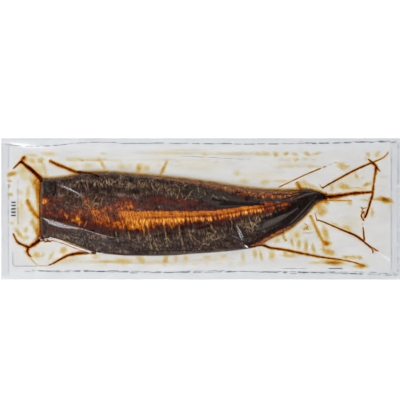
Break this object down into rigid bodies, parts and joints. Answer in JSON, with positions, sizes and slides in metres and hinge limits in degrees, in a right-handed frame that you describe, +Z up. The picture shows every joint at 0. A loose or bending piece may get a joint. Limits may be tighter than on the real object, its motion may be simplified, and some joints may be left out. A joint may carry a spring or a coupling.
{
  "type": "vacuum-packed grilled eel fillet",
  "caption": "Long butterflied grilled eel fillet, skin side up, vacuum sealed in a clear flat rectangular pouch with dark glaze run into the film's creases.",
  "frame": {"origin": "middle of the pouch on its flat underside", "axes": "+X along the pouch from the cut head end to the tail, +Y across it, +Z up through the skin side"},
  "size_m": [0.4, 0.141, 0.0154],
  "materials": {
    "sealed_pouch": "clear glossy film drawn tight over a dark glazed fillet",
    "pouch_film": "clear, glossy, faintly grey, with fine wrinkles",
    "eel_skin": "grilled skin, charred dark on the flanks and golden along the belly, wet with glaze",
    "sauce": "clear dark soy glaze, amber where it is thin",
    "ink": "small printed marks"
  },
  "bodies": {
    "root": {"sealed_eel_pouch": "sealed_pouch"}
  },
  "joints": []
}
